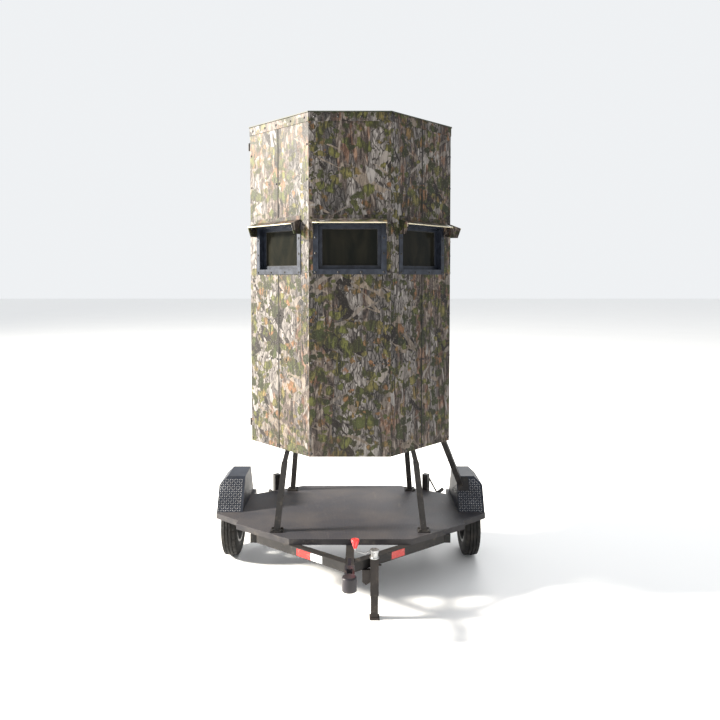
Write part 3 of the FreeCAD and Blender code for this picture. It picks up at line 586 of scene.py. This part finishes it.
def wall_screws(sketch):
    """Domed heads with a recess, on the wall, fascia and window frames."""
    for solid in islands("wall_screws"):
        centre = sum(solid, Vector()) / len(solid)
        name = max(FACE_NAMES, key=lambda face: -(FACE[face].inverted() @ centre).y)
        local = FACE[name].inverted() @ centre
        local.y = max((FACE[name].inverted() @ point).y for point in solid)
        matrix = FACE[name] @ Matrix.Translation(local) @ Matrix.Rotation(math.pi / 2, 4, "X")
        turned(sketch, SCREW_HEAD, matrix, 12)


screws = place("screw_heads", wall_screws, SLOT_MATERIALS["screw_black"], "screw_black")
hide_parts("wall_screws")


# Divisions round the tyre and across its tread. Places across the tread are shares of the half width.
TYRE_STEPS = 168
CROWN_STEPS = 24
CROWN_DROP = 0.0095
TREAD_EDGE = 0.80
TREAD_FLOOR = 0.236
GROOVES = (-0.40, 0.0, 0.40)
GROOVE_HALF = 0.045
GROOVE_DEPTH = 0.007
SHOULDER_START = 0.47
SHOULDER_PITCH = 7
SHOULDER_OFFSET = 3
SHOULDER_DEPTH = 0.006
NOTCH_SPAN = (0.05, 0.34)
NOTCH_PITCH = 14
NOTCH_DEPTH = 0.004


def groove_depth(share, height, step):
    """How far the rubber is cut away: three round grooves and slots between the blocks."""
    if height < TREAD_FLOOR:
        return 0.0
    if any(abs(share - groove) < GROOVE_HALF for groove in GROOVES):
        return GROOVE_DEPTH
    offset = 0 if share < 0 else SHOULDER_OFFSET
    if abs(share) > SHOULDER_START and (step + offset) % SHOULDER_PITCH == 0:
        return SHOULDER_DEPTH
    first, last = NOTCH_SPAN
    if first < abs(share) < last and (step + round(abs(share) * 10)) % NOTCH_PITCH == 0:
        return NOTCH_DEPTH
    return 0.0


def tyre(name, side):
    """Ribbed trailer tyre with shoulder blocks, sidewall rings and open centre."""
    low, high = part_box("tyre_" + name)
    centre = (low + high) / 2
    radius = (high.z - low.z) / 2
    half = (high.x - low.x) / 2
    bead = max(vertex.co.z for vertex in NODES["wheel_" + name].data.vertices) - centre.z
    # Points across the tyre are (share of the half width, radius).
    flank = [(-0.78, bead - 0.0105), (-0.79, bead + 0.001), (-0.90, bead + 0.006), (-0.955, 0.180),
             (-0.985, 0.186), (-0.985, 0.190), (-0.965, 0.193), (-0.995, 0.206), (-0.990, 0.216),
             (-0.965, 0.219), (-0.960, 0.224), (-0.945, 0.230), (-0.900, 0.238), (-0.840, 0.243)]
    crown = []
    for step in range(CROWN_STEPS + 1):
        share = -TREAD_EDGE + 2 * TREAD_EDGE * step / CROWN_STEPS
        crown.append((share, radius - CROWN_DROP * abs(share) ** 2.6))
    profile = flank + crown + [(-share, height) for share, height in reversed(flank)]
    inner = [(0.70, bead + 0.012), (0.78, 0.190), (0.80, 0.215), (0.62, 0.236), (0.0, 0.242)]
    inner += [(-share, height) for share, height in reversed(inner[:-1])]

    def build(sketch):
        rings = []
        for step in range(TYRE_STEPS):
            angle = 2 * math.pi * step / TYRE_STEPS
            ring = []
            for index, (share, height) in enumerate(profile + inner):
                if index < len(profile):
                    height -= groove_depth(share, height, step)
                point = (centre.x + share * half * side, centre.y + height * math.cos(angle),
                         centre.z + height * math.sin(angle))
                ring.append(sketch.verts.new(point))
            rings.append(ring)
        for step in range(TYRE_STEPS):
            here, after = rings[step], rings[(step + 1) % TYRE_STEPS]
            for index in range(len(here)):
                following = (index + 1) % len(here)
                sketch.faces.new((here[index], here[following], after[following], after[index]))

    piece = place("tyre_tread_" + name, build, SLOT_MATERIALS["tread_rubber"], "tread_rubber",
                  "wheel_" + name)
    sharpen(piece, 40)
    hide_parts("tyre_" + name)


VALVE_STEM = [(0.0075, 0), (0.0075, 0.003), (0.0045, 0.006), (0.0035, 0.018), (0.0048, 0.0185),
              (0.0048, 0.027), (0.0036, 0.029)]
VALVE_RADIUS = 0.131
VALVE_ANGLE = math.radians(54)
VALVE_SEAT = 0.018


def valve(name, side):
    """Rubber valve stem with its cap, in the wheel's outer dish."""

    def build(sketch):
        root = middle("wheel_" + name) + Vector((side * VALVE_SEAT, VALVE_RADIUS * math.cos(VALVE_ANGLE),
                                                 VALVE_RADIUS * math.sin(VALVE_ANGLE)))
        matrix = Matrix.Translation(root) @ Matrix.Rotation(side * math.pi / 2, 4, "Y")
        turned(sketch, VALVE_STEM, matrix, 14)

    place("valve_" + name, build, SLOT_MATERIALS["black_grip"], "black_grip", "wheel_" + name)


for wheel_name, wheel_side in SIDES.items():
    tyre(wheel_name, wheel_side)
    valve(wheel_name, wheel_side)


PANE_OVERLAP = 0.024
GASKET_RADIUS = 0.0032
GASKET_INSET = 0.0035


def window_details(name):
    """Rubber gasket and inside latch of one window."""
    matrix = FACE[name]
    body = "window_" + name
    pane_low, pane_high = local_box("pane_" + name, matrix)
    half = pane_high.x - PANE_OVERLAP
    low, high = pane_low.z + PANE_OVERLAP + 0.001, pane_high.z - PANE_OVERLAP - 0.001
    inside = pane_low.y - GASKET_INSET

    def gasket(sketch):
        corners = [Vector((-half, inside, low)), Vector((half, inside, low)),
                   Vector((half, inside, high)), Vector((-half, inside, high))]
        path = [matrix @ point for point in divided(corners, 0.02, True)]
        tube(sketch, path, GASKET_RADIUS, True)

    place("gasket_" + name, gasket, SLOT_MATERIALS["black_grip"], "black_grip")

    def latch(sketch):
        back = pane_high.y
        top = pane_high.z
        block(sketch, (-0.022, back, top - 0.030), (0.022, back + 0.007, top - 0.006), matrix, 0.0015)
        block(sketch, (-0.006, back + 0.007, top - 0.052), (0.006, back + 0.015, top - 0.012), matrix, 0.002)

    latch_piece = place("latch_" + name, latch, SLOT_MATERIALS["black_grip"], "black_grip", body)
    sharpen(latch_piece)


HOOD_EDGE_RADIUS = 0.0034
HOOD_EDGE_INSET = 0.003
SAME_PLANE = 0.0005


def hood_edges(sketch):
    """Rolled front edge of every hood."""
    front = FACE["front"].inverted()
    hood = [front @ vertex.co for vertex in NODES["window_hoods"].data.vertices]
    tip = min(point.y for point in hood)
    rim = [point for point in hood if point.y < tip + SAME_PLANE]
    level = (min(point.z for point in rim) + max(point.z for point in rim)) / 2
    half = max(abs(point.x) for point in rim)
    edge = tip + HOOD_EDGE_INSET
    for name in WINDOW_FACES:
        ends = [Vector((-half, edge, level)), Vector((half, edge, level))]
        tube(sketch, [FACE[name] @ point for point in divided(ends, 0.05)], HOOD_EDGE_RADIUS, False, 10)


for window_name in WINDOW_FACES:
    window_details(window_name)
# The hood edges carry the cream painted highlight of their sunlit edges.
place("hood_edges", hood_edges, HOOD_EDGE_HIGHLIGHT, "camo_sheet")


STRIP_HALF = 0.0042
STRIP_PROUD = 0.0022
STRIP_SEAT = 0.0002
STRIP_ROUNDING = 0.0009
STRIP_END_GAP = 0.001


def seam_strips(sketch):
    """Rounded rubber strips laid over the seams of the four diagonal walls."""
    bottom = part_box("wall_front")[0].z + STRIP_END_GAP
    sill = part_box("window_frames")[0].z - STRIP_END_GAP
    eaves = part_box("window_hoods")[1].z + STRIP_END_GAP
    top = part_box("roof_fascia")[0].z - STRIP_END_GAP
    for name in FACE_NAMES[1::2]:
        for low, high in ((bottom, sill), (eaves, top)):
            block(sketch, (-STRIP_HALF, -STRIP_PROUD, low), (STRIP_HALF, -STRIP_SEAT, high), FACE[name],
                  STRIP_ROUNDING)


place("seam_strips", seam_strips, SLOT_MATERIALS["black_grip"], "black_grip")


LOZENGE_PITCH = 0.0165
LOZENGE_SIZE = (0.0105, 0.0030, 0.0014)
LOZENGE_SINK = 0.0004
LOZENGE_CREST = 0.45
SLOPE_MARGIN = 0.012
SLOPE_START = 0.010
FENDER_MARGIN = 0.004
FENDER_CHAMFER = 0.055
CHAMFER_MARGIN = 0.014


def fender_tread(name, side):
    """Raised lozenges of the tread plate on a fender's front slope."""
    low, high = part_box("fender_" + name)
    crown = high.z - SAME_PLANE
    run = min(vertex.co.y for vertex in NODES["fender_" + name].data.vertices if vertex.co.z > crown) - low.y
    foot = Vector((0, low.y, low.z))
    head = Vector((0, low.y + run, high.z))
    up = (head - foot).normalized()
    out = Vector((0, -up.z, up.y))
    slope = (head - foot).length
    start, end = low.x + FENDER_MARGIN, high.x - FENDER_MARGIN
    rows = int((slope - SLOPE_MARGIN) / LOZENGE_PITCH)
    columns = int((end - start) / LOZENGE_PITCH)

    def lozenge(sketch, centre, turn):
        along = Vector((math.cos(turn), 0, 0)) + up * math.sin(turn)
        across = Vector((-math.sin(turn), 0, 0)) + up * math.cos(turn)
        long, wide, tall = LOZENGE_SIZE
        base = [centre + along * long, centre + across * wide, centre - along * long, centre - across * wide]
        crest = [centre + (point - centre) * LOZENGE_CREST + out * tall for point in base]
        base = [sketch.verts.new(point - out * LOZENGE_SINK) for point in base]
        crest = [sketch.verts.new(point) for point in crest]
        for step in range(4):
            after = (step + 1) % 4
            sketch.faces.new((base[step], base[after], crest[after], crest[step]))
        sketch.faces.new(crest)
        sketch.faces.new(reversed(base))

    def build(sketch):
        for row in range(rows):
            for column in range(columns):
                x = start + (column + 0.5) * LOZENGE_PITCH
                height = SLOPE_START + row * LOZENGE_PITCH
                outer_gap = (high.x - x) if side > 0 else (x - low.x)
                if height > slope - FENDER_CHAMFER + min(FENDER_CHAMFER, outer_gap) - CHAMFER_MARGIN:
                    continue
                centre = foot + up * height + Vector((x, 0, 0))
                lozenge(sketch, centre, math.radians(45 if (row + column) % 2 else 135))

    # The lozenges get the pale paint that is partly wear and partly painted highlight.
    place("fender_tread_" + name, build, TREAD_WEAR_AND_HIGHLIGHT, "black_steel", smooth=False)


for fender_name, fender_side in SIDES.items():
    fender_tread(fender_name, fender_side)


LEG_BEAD_LIFT = 0.0015
BEAD_OFFSET = 0.0005
TONGUE_BEAD_START = -0.66
TONGUE_BEAD_LENGTH = 0.055
COUPLER_BEAD_HALF = 0.026
COUPLER_BEAD_DROP = 0.033
COUPLER_BEAD_OFFSET = 0.001


def welds(sketch):
    """Beads round the feet of the stand legs and along the tongue joints."""
    for solid in islands("stand_legs"):
        foot = min(point.z for point in solid)
        ring = [point for point in solid if point.z < foot + SAME_PLANE]
        centre = sum(ring, Vector()) / len(ring)
        outer = sorted(ring, key=lambda point: -(point - centre).length)[:4]
        outer.sort(key=lambda point: math.atan2(point.y - centre.y, point.x - centre.x))
        weld(sketch, [point + Vector((0, 0, LEG_BEAD_LIFT)) for point in outer], True)
    low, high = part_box("tongue_tube")
    for side in (1, -1):
        x = high.x if side > 0 else low.x
        start = Vector((x + side * BEAD_OFFSET, TONGUE_BEAD_START, high.z + BEAD_OFFSET))
        weld(sketch, [start, start + Vector((0, TONGUE_BEAD_LENGTH, 0))])
        weld(sketch, [Vector((start.x, start.y, low.z)), start])
    low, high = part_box("coupler_body")
    y, z = high.y + COUPLER_BEAD_OFFSET, high.z - COUPLER_BEAD_DROP
    weld(sketch, [Vector((-COUPLER_BEAD_HALF, y, z)), Vector((COUPLER_BEAD_HALF, y, z))])


place("weld_beads", welds, SLOT_MATERIALS["black_steel"], "black_steel")


SHORTEST_RAIL = 0.3
CAP_GAP = 0.0003
CAP_THICKNESS = 0.004
CAP_INSET = 0.0005


def rail_caps(sketch):
    """Push-in caps in the open ends of the two side rails."""
    for solid in islands("deck_frame"):
        low = Vector(min(point[axis] for point in solid) for axis in range(3))
        high = Vector(max(point[axis] for point in solid) for axis in range(3))
        if high.y - low.y < SHORTEST_RAIL:
            continue
        for y, out in ((low.y, -1), (high.y, 1)):
            near, far = sorted((y + out * CAP_GAP, y + out * CAP_THICKNESS))
            block(sketch, (low.x + CAP_INSET, near, low.z + CAP_INSET),
                  (high.x - CAP_INSET, far, high.z - CAP_INSET), Matrix.Identity(4), 0.0012)


place("rail_caps", rail_caps, SLOT_MATERIALS["black_grip"], "black_grip")


CLIP_ROOT = Vector((-0.003, 0.16, 0.10))
CLIP_BENDS = [(0, 0, 0), (-0.012, -0.004, 0.004), (-0.014, -0.022, 0.022), (-0.010, -0.030, 0.040),
              (0, -0.034, 0.048)]
CLIP_WIRE_RADIUS = 0.0022
CLIP_PLATE = ((-0.001, -0.012, -0.010), (0.003, 0.012, 0.010))


def fender_clip(sketch):
    """Bent wire keeper on the right fender's inner wall."""
    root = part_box("fender_right")[0] + CLIP_ROOT
    corners = [root + Vector(bend) for bend in CLIP_BENDS]
    tube(sketch, divided(corners, 0.004), CLIP_WIRE_RADIUS)
    plate_low, plate_high = CLIP_PLATE
    block(sketch, root + Vector(plate_low), root + Vector(plate_high), Matrix.Identity(4), 0.001)


place("fender_clip", fender_clip, SLOT_MATERIALS["galvanised"], "galvanised")


# ---- floor, light and camera ----
FLOOR_HALF = 60.0
FLOOR_DEPTH = 0.003


def studio():
    """Pale floor and an even sky of near-white light."""
    shader = Shader("studio_floor")
    cloud = shader.noise(0.6, detail=3)
    colour = shader.mix(cloud, (0.86, 0.86, 0.855), (0.90, 0.90, 0.895))
    material = shader.finish(colour, shader.between(cloud, 0.75, 0.9), shader.bump(cloud, 0.001, 0.1))
    mesh = bpy.data.meshes.new("studio_floor")
    corners = [(x * FLOOR_HALF, y * FLOOR_HALF, -FLOOR_DEPTH)
               for x, y in ((-1, -1), (1, -1), (1, 1), (-1, 1))]
    mesh.from_pydata(corners, [], [(0, 1, 2, 3)])
    mesh.materials.append(material)
    floor = bpy.data.objects.new("studio_floor", mesh)
    bpy.context.scene.collection.objects.link(floor)

    world = bpy.data.worlds.new("studio")
    world.use_nodes = True
    background = world.node_tree.nodes["Background"]
    background.inputs["Color"].default_value = (0.96, 0.98, 1.0, 1)
    background.inputs["Strength"].default_value = 0.9
    bpy.context.scene.world = world


def light(name, spot, target, size, power, colour=(1, 1, 1)):
    """Round area light that points from its spot at the target."""
    lamp = bpy.data.lights.new(name, "AREA")
    lamp.shape = "DISK"
    lamp.size = size
    lamp.energy = power
    lamp.color = colour
    holder = bpy.data.objects.new(name, lamp)
    holder.location = spot
    holder.rotation_euler = (Vector(target) - Vector(spot)).to_track_quat("-Z", "Y").to_euler()
    bpy.context.scene.collection.objects.link(holder)


EYE = (0.04, -4.46, 2.04)
DOWNWARD_TILT = 2.27
FOCAL_LENGTH = 32.5
SENSOR_WIDTH = 36.0
SHIFT = (0.005, -0.078)


def camera():
    """Camera in front of the coupler, looking slightly down."""
    lens = bpy.data.cameras.new("camera")
    lens.lens = FOCAL_LENGTH
    lens.sensor_width = SENSOR_WIDTH
    lens.shift_x, lens.shift_y = SHIFT
    holder = bpy.data.objects.new("camera", lens)
    holder.location = EYE
    holder.rotation_euler = (math.radians(90 - DOWNWARD_TILT), 0, 0)
    bpy.context.scene.collection.objects.link(holder)
    bpy.context.scene.camera = holder


studio()
light("key", (-14.0, -0.9, 7.6), (0, 0, 1.6), 2.2, 11500, (1.0, 0.94, 0.84))
light("back", (2.5, 7.0, 6.0), (0, 0, 1.5), 4.0, 350)
camera()
bpy.context.scene.view_settings.view_transform = "Standard"
